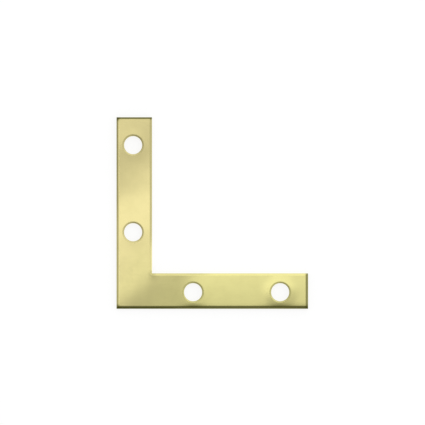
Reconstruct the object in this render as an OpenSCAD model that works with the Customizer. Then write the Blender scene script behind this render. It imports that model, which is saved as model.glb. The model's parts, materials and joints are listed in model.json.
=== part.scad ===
// Flat corner brace: an L-shaped plate stamped from sheet metal, with punched screw holes in both legs.
// It lies on its back face. The outer corner of that face is the origin, and the legs run along +X and +Y.

/* [Plate] */
// Outside length of each leg, from the outer corner to the end
leg_length = 50.8; // [45:0.1:150]
// Width of each leg
leg_width = 9.4; // [8:0.1:25]
// Thickness of the sheet
thickness = 1.8; // [1.2:0.1:4]
// Radius in the corner between the legs
inside_radius = 0.2; // [0.15:0.05:5]

/* [Screw holes] */
// Diameter of each hole
hole_d = 4.8; // [3:0.1:6]
// Number of holes in each leg, spread evenly from the first to the last
holes_per_leg = 2; // [2:1:4]
// Outer corner to the centre of a leg's first hole
first_hole = 20.3; // [15:0.1:25]
// Centre of a leg's last hole to the end of the leg
end_margin = 7.4; // [4:0.1:15]
// Middle of the leg to its line of holes, towards the outer edge
hole_offset = 0.3; // [0:0.05:1]

/* [Rolled edges] */
// Radius that blanking leaves along the front of the outer edges
edge_roll = 0.65; // [0.2:0.05:1]
// Radius that blanking leaves along the front of the inner edges
inner_roll = 0.5; // [0.2:0.05:1]
// Radius that cutting off leaves along the front of each leg's end
end_roll = 0.5; // [0.2:0.05:1]
// Radius that punching leaves round the front of each hole
rim_roll = 0.3; // [0.1:0.05:0.8]

/* [Hidden] */
$fn = 96;

// Pale polished brass
brass = [0.86, 0.82, 0.56];

// How far a cut runs past the face that it starts from
overcut = 0.1;

hole_line = leg_width / 2 - hole_offset;
last_hole = leg_length - end_margin;
hole_pitch = (last_hole - first_hole) / (holes_per_leg - 1);
hole_stations = [for (i = [0 : holes_per_leg - 1]) first_hole + i * hole_pitch];

// The brace is the same on both sides of its diagonal, so the leg along X is drawn and mirrored
module both_legs() {
    children();
    mirror([1, -1, 0])
        children();
}

// The sliver between a square corner at the origin and the arc that rounds it
module spandrel(radius) {
    difference() {
        translate([-overcut, -overcut])
            square(radius + overcut);
        translate([radius, radius])
            circle(radius);
    }
}

// The blank seen from the front: a square that has lost the space between the legs
module outline() {
    difference() {
        square(leg_length);
        translate([leg_width, leg_width])
            difference() {
                square(leg_length);
                spandrel(inside_radius);
            }
    }
}

// What a straight edge of the front face loses, with the plate on the left of its direction
module straight_roll(start, angle, length, roll) {
    translate([start.x, start.y, thickness])
        rotate([0, 90, angle])
            linear_extrude(length)
                spandrel(roll);
}

// What a round edge of the front face loses, where the plate lies outside the given radius
module round_roll(radius, roll, sweep = 360) {
    rotate_extrude(angle = sweep)
        translate([radius, 0])
            mirror([0, 1])
                spandrel(roll);
}

// The rolls along a leg's outer edge, across its end and back along its inner edge meet in mitres
module leg_rolls() {
    inner_start = leg_length + overcut;
    inner_end = leg_width + inside_radius;
    straight_roll([-overcut, 0], 0, leg_length + 2 * overcut, edge_roll);
    straight_roll([leg_length, -overcut], 90, leg_width + 2 * overcut, end_roll);
    straight_roll([inner_start, leg_width], 180, inner_start - inner_end, inner_roll);
}

// The roll carries on round the corner between the legs
module inside_corner_roll() {
    centre = leg_width + inside_radius;
    translate([centre, centre, thickness])
        rotate(180)
            round_roll(inside_radius, inner_roll, 90);
}

module leg_holes() {
    for (station = hole_stations)
        translate([station, hole_line, 0]) {
            translate([0, 0, -overcut])
                cylinder(d = hole_d, h = thickness + 2 * overcut);
            translate([0, 0, thickness])
                round_roll(hole_d / 2, rim_roll);
        }
}

module corner_brace() {
    color(brass)
        difference() {
            linear_extrude(thickness)
                outline();
            both_legs() {
                leg_rolls();
                leg_holes();
            }
            inside_corner_roll();
        }
}

corner_brace();
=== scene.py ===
import json
import math

import bpy
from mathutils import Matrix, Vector
from mathutils.geometry import delaunay_2d_cdt


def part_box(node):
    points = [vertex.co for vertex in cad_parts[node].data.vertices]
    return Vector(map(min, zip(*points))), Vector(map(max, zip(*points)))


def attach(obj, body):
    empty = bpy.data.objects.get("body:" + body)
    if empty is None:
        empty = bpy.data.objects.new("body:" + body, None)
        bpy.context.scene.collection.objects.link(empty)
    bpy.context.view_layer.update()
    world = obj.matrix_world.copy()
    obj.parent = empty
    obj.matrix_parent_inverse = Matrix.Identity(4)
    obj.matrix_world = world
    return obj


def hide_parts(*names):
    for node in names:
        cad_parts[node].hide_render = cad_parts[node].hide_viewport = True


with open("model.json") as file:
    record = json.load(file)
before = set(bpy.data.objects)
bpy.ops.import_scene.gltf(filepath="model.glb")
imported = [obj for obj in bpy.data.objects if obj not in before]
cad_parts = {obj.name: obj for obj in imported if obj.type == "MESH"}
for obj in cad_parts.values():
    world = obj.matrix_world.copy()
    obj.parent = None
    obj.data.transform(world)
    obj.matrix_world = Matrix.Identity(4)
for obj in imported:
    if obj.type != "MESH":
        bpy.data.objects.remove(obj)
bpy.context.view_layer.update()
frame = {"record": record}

# Sizes are in millimetres until the finished mesh is scaled to metres
MM = 0.001
NODE = "corner_brace"
LOW, HIGH = (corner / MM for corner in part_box(NODE))
LEG = HIGH.x - LOW.x
THICK = HIGH.z - LOW.z
# The part's other sizes, which its box doesn't tell
LEG_WIDTH = 9.4
MIDDLE = LEG_WIDTH / 2
INSIDE_RADIUS = 0.2
INSIDE_CENTRE = LEG_WIDTH + INSIDE_RADIUS
EDGE_ROLL = 0.65
INNER_ROLL = 0.5
END_ROLL = 0.5
RIM_ROLL = 0.3
# The arris of an outer corner and of the back face is not quite sharp
ARRIS = 0.12
BACK_BREAK = 0.1
# From the wall to the back: steps inwards and heights, as shares of the back's break
BACK_PROFILE = ((0.3, 0.3), (1.0, 0.0), (2.0, 0.0))

# Place and radius of each hole. The x leg's come first, each leg's from the outer corner on.
HOLES = sorted(
    (
        (mount["pos_m"][0] / MM, mount["pos_m"][1] / MM, mount["dims"]["r_mm"])
        for mount in frame["record"]["mounts"]
        if mount["kind"] == "bore"
    ),
    key=lambda hole: (hole[0] < hole[1], hole),
)

# How finely the mesh is cut
ROLL_STEPS = 10
WALL_STEPS = 4
CORNER_STEPS = 4
EDGE_SPACING = 0.45
HOLE_SEGMENTS = 96
LAND_SPACING = 0.6
BACK_SPACING = 3 * LAND_SPACING
# The front has two rings of points beside each roll, this far from it
LAND_STEPS = (0.3, 0.15)
# Rows of triangles with three equal sides lie this share of a side apart
ROW_SHARE = math.sqrt(0.75)
# What delaunay_2d_cdt is asked for: triangles over the whole hull, with points merged within this distance
WHOLE_HULL = 0
MERGE_DISTANCE = 1e-7
# How sharp the crease is where two rolls meet
CREASE_SHARPNESS = 8

# Buffing leaves the front a little wavy. Each leg bows along its length and twists about it, by slopes that
# pass through stations: distance from the outer corner, and slope.
Y_LEG_BOW = [
    (0, -0.0021), (10, -0.0041), (16, -0.0061), (26, -0.0111), (34, 0.0054), (40, 0.0129), (51, 0.0099)
]
Y_LEG_TWIST = [(0, 0.0073), (12, 0.0073), (24.5, 0.0113), (42, -0.0072), (51, -0.0047)]
X_LEG_BOW = [(0, -0.0052), (16, -0.0047), (24, 0.0018), (51, 0.0018)]
X_LEG_TWIST = [(0, 0.0114), (16, 0.0114), (23, -0.0055), (51, -0.0065)]
# The x leg is also crowned across its width, by this curvature
X_LEG_CROWN = 0.0011
# The legs meet in a soft fold, this wide to each side of a line that lies beside the diagonal
FOLD = 8.0
FOLD_SHIFT = 1.5
# The punch leaves a low mound round each hole
MOUNDS = (0.008, 0.058, 0.008, 0.008)
MOUND_REACH = 1.4
# The tool that cut the corner between the legs has left a bulge beside it
BULGE = (10.0, 9.3)
BULGE_HEIGHT = 0.025
BULGE_REACH = 1.1

# Shearing leaves the edges dull, and they are darker still as painted shade. A strength, or its stations
# along the leg, goes with a fade that gives the width of full strength and the reach.
X_LEG_STRENGTH = 0.85
X_LEG_FULL = 0.63
X_LEG_REACH = [(0, 0.94), (18, 0.94), (23, 1.02), (51, 1.02)]
# Painted shade along the x leg's outer edge, whose strength passes through stations along the leg
X_LEG_EDGE_SHADE = [(0, 0.92), (12, 0.82), (20, 0.18), (42, 0.0), (51, 0.4)]
X_LEG_EDGE_SHADE_FADE = (0.28, 0.6)
Y_LEG_STRENGTH = [(0, 0.62), (6, 0.56), (22, 0.56), (30, 0.73), (38, 0.78), (51, 0.78)]
Y_LEG_FADE = (0.2, 0.52)
X_END_STRENGTH = 0.73
X_END_FADE = (0.45, 0.8)
Y_END_STRENGTH = 0.865
Y_END_FADE = (0.42, 0.57)
INNER_X_STRENGTH = [(0, 0.185), (22, 0.185), (26, 0.0)]
INNER_Y_STRENGTH = [(0, 0.0), (14, 0.0), (21, 0.35), (51, 0.45)]
INNER_FADE = (0.25, 0.75)
INNER_CHANGE = 0.5
# Corners, where two cuts meet, are painted darker still as painted shade: place, strength and reach
CORNERS = (
    ((0.0, 0.0), 0.85, 1.6),
    ((LEG, 0.0), 0.85, 0.85),
    ((0.0, LEG), 0.85, 1.3),
    ((LEG_WIDTH, LEG_WIDTH), 0.24, 1.2),
)
CORNER_FULL = 0.4
# Each hole's rim is painted darker: partly dull punched metal, partly painted shade, stronger on one side
RIM_STRENGTH = 0.325
RIM_LEAN = 0.4
RIM_LEAN_ANGLE = math.radians(40)
RIM_FADE = (0.35, 0.6)
# The strips between the x leg's holes and its outer edge get painted shade too, and so does the end
# of that edge: place and spread along the leg, and strength
THIN_LANDS = ((HOLES[0][0], 3.0, 0.6), (HOLES[1][0], 4.2, 0.55), (LEG, 3.5, 0.19))
THIN_LAND_RISE = 0.9
THIN_LAND_FADE = (1.0, 1.9)


# The form of the plate

def ease(share):
    """Runs from 0 to 1 with a level start and end."""
    share = max(0.0, min(1.0, share))
    return share * share * (3 - 2 * share)


def along(stations, place):
    """The value at a place on the eased line through the stations."""
    for (start, first), (end, last) in zip(stations, stations[1:]):
        if place <= end:
            return first + (last - first) * ease((place - start) / (end - start))
    return stations[-1][1]


def climb(stations, place):
    """The height that eased slopes through the stations gain from the first one to a place."""
    height = 0.0
    for (start, first), (end, last) in zip(stations, stations[1:]):
        share = max(0.0, min(1.0, (place - start) / (end - start)))
        eased_area = share**3 - share**4 / 2
        height += (end - start) * (first * share + (last - first) * eased_area)
    return height


def hump(distance, height, reach):
    """A soft rise of this height, seen at this distance from its top."""
    return height * math.exp(-((distance / reach) ** 2))


def hole_distance(x, y, hole):
    """Distance from the edge of a hole."""
    hole_x, hole_y, radius = hole
    return math.hypot(x - hole_x, y - hole_y) - radius


def inner_distance(x, y):
    """Distance from the edge that runs round the inside of the L."""
    if y >= INSIDE_CENTRE:
        return LEG_WIDTH - x
    if x >= INSIDE_CENTRE:
        return LEG_WIDTH - y
    return math.hypot(x - INSIDE_CENTRE, y - INSIDE_CENTRE) - INSIDE_RADIUS


def leg_wave(bow, twist, place, aside):
    """Waviness of a leg at a place along it, and this far aside from its middle."""
    return climb(bow, place) - climb(bow, MIDDLE) + along(twist, place) * aside


def wave(x, y):
    """Waviness of the front face."""
    across = y - MIDDLE
    y_leg = leg_wave(Y_LEG_BOW, Y_LEG_TWIST, y, x - MIDDLE)
    x_leg = leg_wave(X_LEG_BOW, X_LEG_TWIST, x, across) - X_LEG_CROWN / 2 * across * across
    height = y_leg + (x_leg - y_leg) * ease((x - y - FOLD_SHIFT + FOLD) / (2 * FOLD))
    for hole, mound in zip(HOLES, MOUNDS):
        height += hump(max(0.0, hole_distance(x, y, hole)), mound, MOUND_REACH)
    return height + hump(math.dist((x, y), BULGE), BULGE_HEIGHT, BULGE_REACH)


def roll_drop(distance, roll):
    """How far the front has dropped at this distance inside an edge that is rolled to this radius."""
    reach = max(0.0, min(roll, roll - distance))
    return roll - math.sqrt(roll * roll - reach * reach)


def front_height(x, y):
    """Height of the front face: a little wavy, and rolled over along its edges and round its holes."""
    drops = [
        roll_drop(x, EDGE_ROLL),
        roll_drop(y, EDGE_ROLL),
        roll_drop(LEG - x, END_ROLL),
        roll_drop(LEG - y, END_ROLL),
        roll_drop(inner_distance(x, y), INNER_ROLL),
    ]
    drops += [roll_drop(hole_distance(x, y, hole), RIM_ROLL) for hole in HOLES]
    rolled = sum(drop**CREASE_SHARPNESS for drop in drops) ** (1 / CREASE_SHARPNESS)
    return THICK - WAVE_TOP + wave(x, y) - rolled


def dullness_and_shade(gap, strength, full, reach):
    """How dark the metal is painted at this distance from an edge: partly dullness, partly painted shade."""
    return strength * (1 - ease((gap - full) / (reach - full)))


def inner_strength(x, y):
    """The strength of the inner edge, which changes from one leg's to the other's in the corner."""
    on_x_leg = along(INNER_X_STRENGTH, x)
    on_y_leg = along(INNER_Y_STRENGTH, y)
    return on_y_leg + (on_x_leg - on_y_leg) * ease((x - y + INNER_CHANGE) / (2 * INNER_CHANGE))


def rim_dullness_and_shade(x, y, hole):
    """How dark the rim of a hole is painted: partly dull punched metal, partly painted shade that leans to
    one side.
    """
    angle = math.atan2(y - hole[1], x - hole[0])
    strength = RIM_STRENGTH * (1 + RIM_LEAN * math.cos(angle - RIM_LEAN_ANGLE))
    return dullness_and_shade(hole_distance(x, y, hole), strength, *RIM_FADE)


def thin_land_shade(x, y, place, spread, strength):
    """Painted shade between a place on the x leg and the outer edge."""
    nearness = hump(x - place, 1.0, spread) * ease(y / THIN_LAND_RISE)
    return nearness * dullness_and_shade(y, strength, *THIN_LAND_FADE)


def shear_and_shade_at(x, y):
    """How dark the metal is painted here, from 0 to 1: partly dullness from shearing, partly painted shade.
    """
    parts = [
        dullness_and_shade(y, X_LEG_STRENGTH, X_LEG_FULL, along(X_LEG_REACH, x)),
        dullness_and_shade(y, along(X_LEG_EDGE_SHADE, x), *X_LEG_EDGE_SHADE_FADE),
        dullness_and_shade(x, along(Y_LEG_STRENGTH, y), *Y_LEG_FADE),
        dullness_and_shade(LEG - x, X_END_STRENGTH, *X_END_FADE),
        dullness_and_shade(LEG - y, Y_END_STRENGTH, *Y_END_FADE),
        dullness_and_shade(inner_distance(x, y), inner_strength(x, y), *INNER_FADE),
    ]
    parts += [
        dullness_and_shade(math.dist((x, y), corner), strength, CORNER_FULL, reach)
        for corner, strength, reach in CORNERS
    ]
    parts += [rim_dullness_and_shade(x, y, hole) for hole in HOLES]
    parts += [thin_land_shade(x, y, *land) for land in THIN_LANDS]
    return 1 - math.prod(1 - part for part in parts)


def arc(centre, radius, start, end, steps):
    """Points of an arc, angles in degrees, both ends included."""
    angles = [math.radians(start + (end - start) * i / steps) for i in range(steps + 1)]
    return [(centre[0] + radius * math.cos(a), centre[1] + radius * math.sin(a)) for a in angles]


def between(start, end, steps):
    """The points that cut a straight stretch into equal steps, without its ends."""
    shares = [i / steps for i in range(1, steps)]
    return [(start[0] + (end[0] - start[0]) * s, start[1] + (end[1] - start[1]) * s) for s in shares]


def outline_loop(share, extra):
    """The L's outline, counter-clockwise, moved inwards by this share of each edge's roll and a bit extra."""
    inner = INNER_ROLL * share + extra
    near = EDGE_ROLL * share + extra + ARRIS
    far = LEG - (END_ROLL * share + extra) - ARRIS
    inside = LEG_WIDTH - inner - ARRIS
    corners = [
        arc((near, near), ARRIS, 180, 270, CORNER_STEPS),
        arc((far, near), ARRIS, 270, 360, CORNER_STEPS),
        arc((far, inside), ARRIS, 0, 90, CORNER_STEPS),
        arc((INSIDE_CENTRE, INSIDE_CENTRE), INSIDE_RADIUS + inner, 270, 180, 2 * CORNER_STEPS),
        arc((inside, far), ARRIS, 0, 90, CORNER_STEPS),
        arc((near, far), ARRIS, 90, 180, CORNER_STEPS),
    ]
    lengths = [LEG, LEG_WIDTH, LEG - LEG_WIDTH, LEG - LEG_WIDTH, LEG_WIDTH, LEG]
    loop = []
    for points, following, length in zip(corners, corners[1:] + corners[:1], lengths):
        loop += points + between(points[-1], following[0], round(length / EDGE_SPACING))
    return loop


def hole_loop(hole, share, extra):
    """A hole's edge, clockwise, moved outwards by this share of the rim's roll and a bit extra."""
    x, y, radius = hole
    return arc((x, y), radius + RIM_ROLL * share + extra, 360, 0, HOLE_SEGMENTS)[:-1]


def on_land(x, y, share, extra):
    """Is the point on the plate, inside the loops that have moved by this share and a bit extra?"""
    near = EDGE_ROLL * share + extra
    far = LEG - END_ROLL * share - extra
    on_square = near < x < far and near < y < far
    on_blank = on_square and inner_distance(x, y) > INNER_ROLL * share + extra
    return on_blank and all(hole_distance(x, y, hole) > RIM_ROLL * share + extra for hole in HOLES)


def highest_wave():
    """The top of the waviness, which the sheet's thickness is measured to."""
    steps = range(int(LEG / LAND_SPACING) + 1)
    places = [(i * LAND_SPACING, j * LAND_SPACING) for i in steps for j in steps]
    places = [(x, y) for x, y in places if on_land(x, y, 1.0, 0.0)] + outline_loop(1.0, 0.0)
    for hole in HOLES:
        places += hole_loop(hole, 1.0, 0.0)
    return max(wave(x, y) for x, y in places)


WAVE_TOP = highest_wave()


class PlateMesh:
    """Collects the plate's points and faces."""

    def __init__(self):
        self.points = []
        self.faces = []

    def add(self, x, y, z):
        """Adds a point and gives its number."""
        self.points.append((x, y, z))
        return len(self.points) - 1

    def front_ring(self, loop):
        """Adds a loop's points at the height of the front face."""
        return [self.add(x, y, front_height(x, y)) for x, y in loop]

    def strip(self, upper, lower):
        """Quads between two rings of as many points."""
        count = len(upper)
        for i in range(count):
            j = (i + 1) % count
            self.faces.append((upper[i], lower[i], lower[j], upper[j]))

    def edge(self, loop_at):
        """One edge of the plate, from the front's land over the roll and the wall to the back's land."""
        rings = [self.front_ring(loop_at(1.0, extra)) for extra in LAND_STEPS]
        for i in range(ROLL_STEPS + 1):
            share = 1 - math.sin(math.pi / 2 * i / ROLL_STEPS)
            rings.append(self.front_ring(loop_at(share, 0.0)))
        for i in range(1, WALL_STEPS + 1):
            down = i / WALL_STEPS
            wall = [(x, y, front_height(x, y) * (1 - down) + BACK_BREAK * down) for x, y in loop_at(0.0, 0.0)]
            rings.append([self.add(*point) for point in wall])
        for inwards, height in BACK_PROFILE:
            loop = loop_at(0.0, BACK_BREAK * inwards)
            rings.append([self.add(x, y, BACK_BREAK * height) for x, y in loop])
        for upper, lower in zip(rings, rings[1:]):
            self.strip(upper, lower)
        return rings[0], rings[-1]

    def land(self, rings, share, extra, spacing, height, faces_up):
        """The face between the outline's ring and the holes' rings, in triangles of about one size."""
        ids = [i for ring in rings for i in ring]
        edges = []
        for ring in rings:
            start = ids.index(ring[0])
            edges += [(start + k, start + (k + 1) % len(ring)) for k in range(len(ring))]
        row = spacing * ROW_SHARE
        for j in range(int(LEG / row) + 1):
            for i in range(int(LEG / spacing) + 1):
                x = (i + j % 2 / 2) * spacing
                y = j * row
                if on_land(x, y, share, extra + spacing / 2):
                    ids.append(self.add(x, y, height(x, y)))
        flat = [Vector(self.points[i][:2]) for i in ids]
        _, _, triangles, sources, _, _ = delaunay_2d_cdt(flat, edges, [], WHOLE_HULL, MERGE_DISTANCE)
        for triangle in triangles:
            corner_ids = [ids[sources[k][0]] for k in triangle]
            x = sum(self.points[i][0] for i in corner_ids) / len(corner_ids)
            y = sum(self.points[i][1] for i in corner_ids) / len(corner_ids)
            if on_land(x, y, share, extra):
                self.faces.append(corner_ids if faces_up else corner_ids[::-1])


def build_plate():
    """The stamped plate as one closed mesh."""
    plate = PlateMesh()
    edges = [plate.edge(outline_loop)]
    edges += [plate.edge(lambda share, extra, h=hole: hole_loop(h, share, extra)) for hole in HOLES]
    fronts, backs = zip(*edges)
    back_inset = BACK_BREAK * BACK_PROFILE[-1][0]
    plate.land(fronts, 1.0, LAND_STEPS[0], LAND_SPACING, front_height, True)
    plate.land(backs, 0.0, back_inset, BACK_SPACING, lambda x, y: 0.0, False)
    mesh = bpy.data.meshes.new("brace_plate")
    mesh.from_pydata([Vector(point) * MM for point in plate.points], [], plate.faces)
    # Each front point gets how dark it is painted: partly dull sheared metal, partly painted shade
    shear_and_shade = [shear_and_shade_at(x, y) if z > 0 else 0.0 for x, y, z in plate.points]
    mesh.attributes.new("shear_and_shade", "FLOAT", "POINT").data.foreach_set("value", shear_and_shade)
    mesh.shade_smooth()
    piece = bpy.data.objects.new("brace_plate", mesh)
    bpy.context.scene.collection.objects.link(piece)
    return piece


# Materials

# A mix node has sockets of the same names for each kind of data. These are the places of the colour ones.
MIX_FACTOR = 0
MIX_FIRST = 6
MIX_SECOND = 7
MIX_RESULT = 2


class Nodes:
    """Adds nodes to a tree and links them by name."""

    def __init__(self, tree):
        self.tree = tree
        tree.nodes.clear()

    def add(self, kind, settings=None, **inputs):
        """Adds a node. An input goes by its name, with _ for a space, or by its number after a _."""
        made = self.tree.nodes.new(kind)
        for name, value in (settings or {}).items():
            setattr(made, name, value)
        for name, value in inputs.items():
            numbered = name[0] == "_" and name[1:].isdigit()
            self.put(made, int(name[1:]) if numbered else name.replace("_", " "), value)
        return made

    def put(self, made, socket, value):
        """Sets an input, or links an output to it."""
        target = made.inputs[socket]
        if isinstance(value, bpy.types.NodeSocket):
            self.tree.links.new(value, target)
        else:
            target.default_value = value

    def math(self, operation, a, b, clamp=False):
        settings = {"operation": operation, "use_clamp": clamp}
        return self.add("ShaderNodeMath", settings, _0=a, _1=b).outputs[0]

    def add_scaled(self, total, part, factor):
        """Adds a part, times a factor, to a total."""
        return self.math("ADD", total, self.math("MULTIPLY", part, factor))

    def remap(self, value, low, high, to_low, to_high):
        """Eases from one value to another as the given value runs from low to high."""
        made = self.add("ShaderNodeMapRange", {"interpolation_type": "SMOOTHSTEP"}, Value=value)
        for name, number in zip(("From Min", "From Max", "To Min", "To Max"), (low, high, to_low, to_high)):
            made.inputs[name].default_value = number
        return made.outputs["Result"]

    def mix(self, factor, first, second):
        """Mixes two colours."""
        made = self.add("ShaderNodeMix", {"data_type": "RGBA"})
        self.put(made, MIX_FACTOR, factor)
        self.put(made, MIX_FIRST, first)
        self.put(made, MIX_SECOND, second)
        return made.outputs[MIX_RESULT]

    def noise(self, vector, scale, detail, roughness):
        made = self.add("ShaderNodeTexNoise", Vector=vector, Scale=scale, Detail=detail, Roughness=roughness)
        return made.outputs["Fac"]


def new_material(name):
    """A material and its empty tree of nodes."""
    material = bpy.data.materials.new(name)
    material.use_nodes = True
    return material, Nodes(material.node_tree)


BRASS_WARM = (0.913, 0.806, 0.384, 1)
BRASS_COOL = (0.877, 0.82, 0.345, 1)
BRASS_GRAZING = (0.97, 0.95, 0.62, 1)
BRASS_CLOUDED = (0.6, 0.53, 0.22, 1)
# Near black, for the edges that are painted dark: partly dull sheared metal, partly painted shade
BRASS_DULL_AND_SHADED = (0.052, 0.056, 0.0, 1)
BRASS_BROKEN = (0.24, 0.215, 0.11, 1)
# Patterns of noise: scale per millimetre, detail and roughness
CLOUD_NOISE = (0.08, 2.0, 0.5)
MOTTLE_NOISE = (0.4, 4.0, 0.6)
PEEL_NOISE = (2.2, 3.0, 0.5)
FRACTURE_NOISE = (6.0, 4.0, 0.65)
# The rolling lines are noise that is drawn out along x
LINE_NOISE = (1.0, 2.0, 0.5)
LINE_SCALE = (0.35, 9, 9)
# The tone drifts from warm on the y leg to cool on the x leg, over a cloudy range of x - y
DRIFT_FADE = (-14.0, 26.0)
DRIFT_CLOUD = 12.0
# The mottle mixes in up to this much of the clouded tone
MOTTLE_FADE = (0.35, 0.75)
MOTTLE_MOST = 0.12
# The grain of the fracture varies the sheared edges by these shares
GRAIN_FADE = (0.2, 0.8)
GRAIN_SHARES = (0.93, 1.02)
# A sheared edge is broken below about this height, along a ragged line
BREAK_FADE = (0.95, 1.15)
BREAK_RAGGED = 0.5
# Roughness of the polish, which varies with the cloud, and what is added to it
POLISH_FADE = (0.3, 0.7)
POLISH = (0.09, 0.12)
LINE_ROUGHNESS = 0.02
DULL_ROUGHNESS = 0.12
BREAK_ROUGHNESS = 0.25
# Parts of the bump
PEEL_BUMP = 0.6
LINE_BUMP = 0.4
FRACTURE_BUMP = 8.0
BUMP_STRENGTH = 0.12
BUMP_DISTANCE = 0.01


def brass_plating():
    """Bright brass plating: faint rolling lines, cloudy tone and polish, and dark edges, partly dull and
    partly painted shade.
    """
    material, nodes = new_material("brass_plating")
    coordinates = nodes.add("ShaderNodeTexCoord").outputs["Object"]
    to_mm = nodes.add("ShaderNodeMapping", Vector=coordinates, Scale=(1 / MM,) * 3).outputs[0]
    line_scale = [scale / MM for scale in LINE_SCALE]
    along_lines = nodes.add("ShaderNodeMapping", Vector=coordinates, Scale=line_scale).outputs[0]
    shear_and_shade = nodes.add("ShaderNodeAttribute", {"attribute_name": "shear_and_shade"}).outputs["Fac"]
    cloud = nodes.noise(to_mm, *CLOUD_NOISE)
    mottle = nodes.noise(to_mm, *MOTTLE_NOISE)
    peel = nodes.noise(to_mm, *PEEL_NOISE)
    lines = nodes.noise(along_lines, *LINE_NOISE)
    fracture = nodes.noise(to_mm, *FRACTURE_NOISE)

    place = nodes.add("ShaderNodeSeparateXYZ", Vector=to_mm).outputs
    drift = nodes.add_scaled(nodes.math("SUBTRACT", place["X"], place["Y"]), cloud, DRIFT_CLOUD)
    tone = nodes.mix(nodes.remap(drift, *DRIFT_FADE, 0.0, 1.0), BRASS_WARM, BRASS_COOL)
    tone = nodes.mix(nodes.remap(mottle, *MOTTLE_FADE, 0.0, MOTTLE_MOST), tone, BRASS_CLOUDED)
    # The edges are mixed towards near black: partly dull sheared metal, partly painted shade
    dull_and_shade = nodes.math("MULTIPLY", shear_and_shade, nodes.remap(fracture, *GRAIN_FADE, *GRAIN_SHARES), clamp=True)
    level = nodes.add_scaled(place["Z"], fracture, BREAK_RAGGED)
    broken = nodes.math("MULTIPLY", dull_and_shade, nodes.remap(level, *BREAK_FADE, 1.0, 0.0))
    colour = nodes.mix(broken, nodes.mix(dull_and_shade, tone, BRASS_DULL_AND_SHADED), BRASS_BROKEN)

    roughness = nodes.remap(cloud, *POLISH_FADE, *POLISH)
    roughness = nodes.add_scaled(roughness, lines, LINE_ROUGHNESS)
    roughness = nodes.add_scaled(roughness, dull_and_shade, DULL_ROUGHNESS)
    roughness = nodes.add_scaled(roughness, broken, BREAK_ROUGHNESS)

    height = nodes.math("MULTIPLY", peel, PEEL_BUMP)
    height = nodes.add_scaled(height, lines, LINE_BUMP)
    height = nodes.add_scaled(height, nodes.math("MULTIPLY", fracture, broken), FRACTURE_BUMP)
    bump = nodes.add("ShaderNodeBump", Height=height, Strength=BUMP_STRENGTH, Distance=BUMP_DISTANCE * MM)
    shader = nodes.add(
        "ShaderNodeBsdfPrincipled",
        Base_Color=colour,
        Metallic=1.0,
        Roughness=roughness,
        Specular_Tint=BRASS_GRAZING,
        Normal=bump.outputs["Normal"],
    )
    nodes.add("ShaderNodeOutputMaterial", Surface=shader.outputs[0])
    return material


# Stage, light and camera

WHITE = (1, 1, 1, 1)
FLOOR_REACH = 3.0
FLOOR_DROP = 0.01
# The floor lights the brace as pale grey does. It is seen as white that still takes the brace's shadow.
FLOOR_GREY = (0.8, 0.8, 0.8, 1)
FLOOR_GLOW = 0.85
FLOOR_SHADED = (0.2, 0.2, 0.2, 1)


def seen_directly(nodes):
    """1 for rays from the camera, a mirror surface or glass, which all see the same white."""
    path = nodes.add("ShaderNodeLightPath").outputs
    mirrored = nodes.math("MAXIMUM", path["Is Glossy Ray"], path["Is Transmission Ray"])
    return nodes.math("MAXIMUM", path["Is Camera Ray"], mirrored)


def white_floor():
    """The floor's material."""
    material, nodes = new_material("white_floor")
    plain = nodes.add("ShaderNodeBsdfDiffuse", Color=FLOOR_GREY).outputs[0]
    glow = nodes.add("ShaderNodeEmission", Color=WHITE, Strength=FLOOR_GLOW).outputs[0]
    shaded = nodes.add("ShaderNodeBsdfDiffuse", Color=FLOOR_SHADED).outputs[0]
    bright = nodes.add("ShaderNodeAddShader", _0=glow, _1=shaded).outputs[0]
    surface = nodes.add("ShaderNodeMixShader", _0=seen_directly(nodes), _1=plain, _2=bright).outputs[0]
    nodes.add("ShaderNodeOutputMaterial", Surface=surface)
    return material


def make_floor():
    """A wide floor, a hair below the brace's back."""
    reach = FLOOR_REACH
    corners = [(-reach, -reach, 0), (reach, -reach, 0), (reach, reach, 0), (-reach, reach, 0)]
    mesh = bpy.data.meshes.new("floor")
    mesh.from_pydata(corners, [], [(0, 1, 2, 3)])
    mesh.materials.append(white_floor())
    floor = bpy.data.objects.new("floor", mesh)
    floor.location = (0, 0, -FLOOR_DROP * MM)
    bpy.context.scene.collection.objects.link(floor)


# A broad soft box lights the brace from behind. Its near edge is just overhead, and the room in front of it
# is dimmer. Fades run between two values of a direction's part along one axis.
BOX_LEVEL = 1.05
BOX_TOWARDS = Vector((-0.3, 0.95, 0)).normalized()
BOX_EDGE_FADE = (-0.0338, 0.0262)
BOX_WEST_FADE = (-0.5, -0.08)
BOX_EAST_FADE = (0.35, 0.9)
ROOM_WEST = 0.47
ROOM_EAST = 0.8
ROOM_FADE = (-0.1, 0.3)
FAR_EAST_SHARE = 0.72
FAR_EAST_FADE = (0.4, 0.9)
FRONT_SHARE = 0.8
FRONT_FADE = (-0.5, -0.1)
LOW_SHARE = 1.7
LOW_FADE = (0.45, 0.95)


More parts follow.
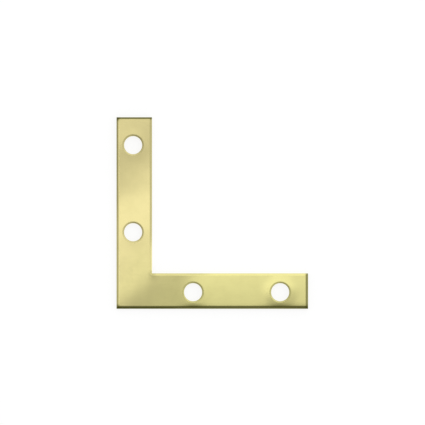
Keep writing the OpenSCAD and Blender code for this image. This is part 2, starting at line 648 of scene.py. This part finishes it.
def make_world():
    """The soft box and the room that light the brace and that its plating mirrors."""
    world = bpy.data.worlds.new("studio")
    bpy.context.scene.world = world
    world.use_nodes = True
    nodes = Nodes(world.node_tree)
    direction = nodes.add("ShaderNodeTexCoord").outputs["Generated"]
    part = nodes.add("ShaderNodeSeparateXYZ", Vector=direction).outputs
    dot = nodes.add("ShaderNodeVectorMath", {"operation": "DOT_PRODUCT"}, _0=direction, _1=BOX_TOWARDS)
    box = nodes.remap(dot.outputs["Value"], *BOX_EDGE_FADE, 0.0, 1.0)
    box = nodes.math("MULTIPLY", box, nodes.remap(part["X"], *BOX_WEST_FADE, 0.0, 1.0))
    box = nodes.math("MULTIPLY", box, nodes.remap(part["X"], *BOX_EAST_FADE, 1.0, 0.0))
    room = nodes.remap(part["X"], *ROOM_FADE, ROOM_WEST, ROOM_EAST)
    room = nodes.math("MULTIPLY", room, nodes.remap(part["X"], *FAR_EAST_FADE, 1.0, FAR_EAST_SHARE))
    room = nodes.math("MULTIPLY", room, nodes.remap(part["Y"], *FRONT_FADE, FRONT_SHARE, 1.0))
    room = nodes.math("MULTIPLY", room, nodes.remap(part["Z"], *LOW_FADE, LOW_SHARE, 1.0))
    level = nodes.add_scaled(room, box, nodes.math("SUBTRACT", BOX_LEVEL, room))
    light = nodes.add("ShaderNodeBackground", Color=WHITE, Strength=level)
    nodes.add("ShaderNodeOutputWorld", Surface=light.outputs[0])


LENS = 600
SENSOR = 36
CLIP_START = 0.01
CLIP_END = 10
FRAME_PX = 425
# The brace spans these pixels in the photograph, from its left and top edges to its right and bottom ones
LEFT_PX, TOP_PX, RIGHT_PX, BOTTOM_PX = 116.9, 116.98, 307.7, 309.08


def make_camera():
    """Straight above the brace, with the brace at its place in the photograph's frame."""
    px_per_mm = (RIGHT_PX - LEFT_PX + BOTTOM_PX - TOP_PX) / 2 / LEG
    distance = LENS * FRAME_PX / px_per_mm / SENSOR
    x = LEG / 2 + (FRAME_PX - LEFT_PX - RIGHT_PX) / 2 / px_per_mm
    y = LEG / 2 - (FRAME_PX - TOP_PX - BOTTOM_PX) / 2 / px_per_mm
    data = bpy.data.cameras.new("camera")
    data.lens = LENS
    data.sensor_width = SENSOR
    data.clip_start = CLIP_START
    data.clip_end = CLIP_END
    camera = bpy.data.objects.new("camera", data)
    camera.location = Vector((x, y, distance)) * MM
    bpy.context.scene.collection.objects.link(camera)
    bpy.context.scene.camera = camera


make_camera()
make_world()
make_floor()
plate = build_plate()
plate.data.materials.append(brass_plating())
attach(plate, "root")
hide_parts(NODE)
bpy.context.scene.view_settings.view_transform = "Standard"
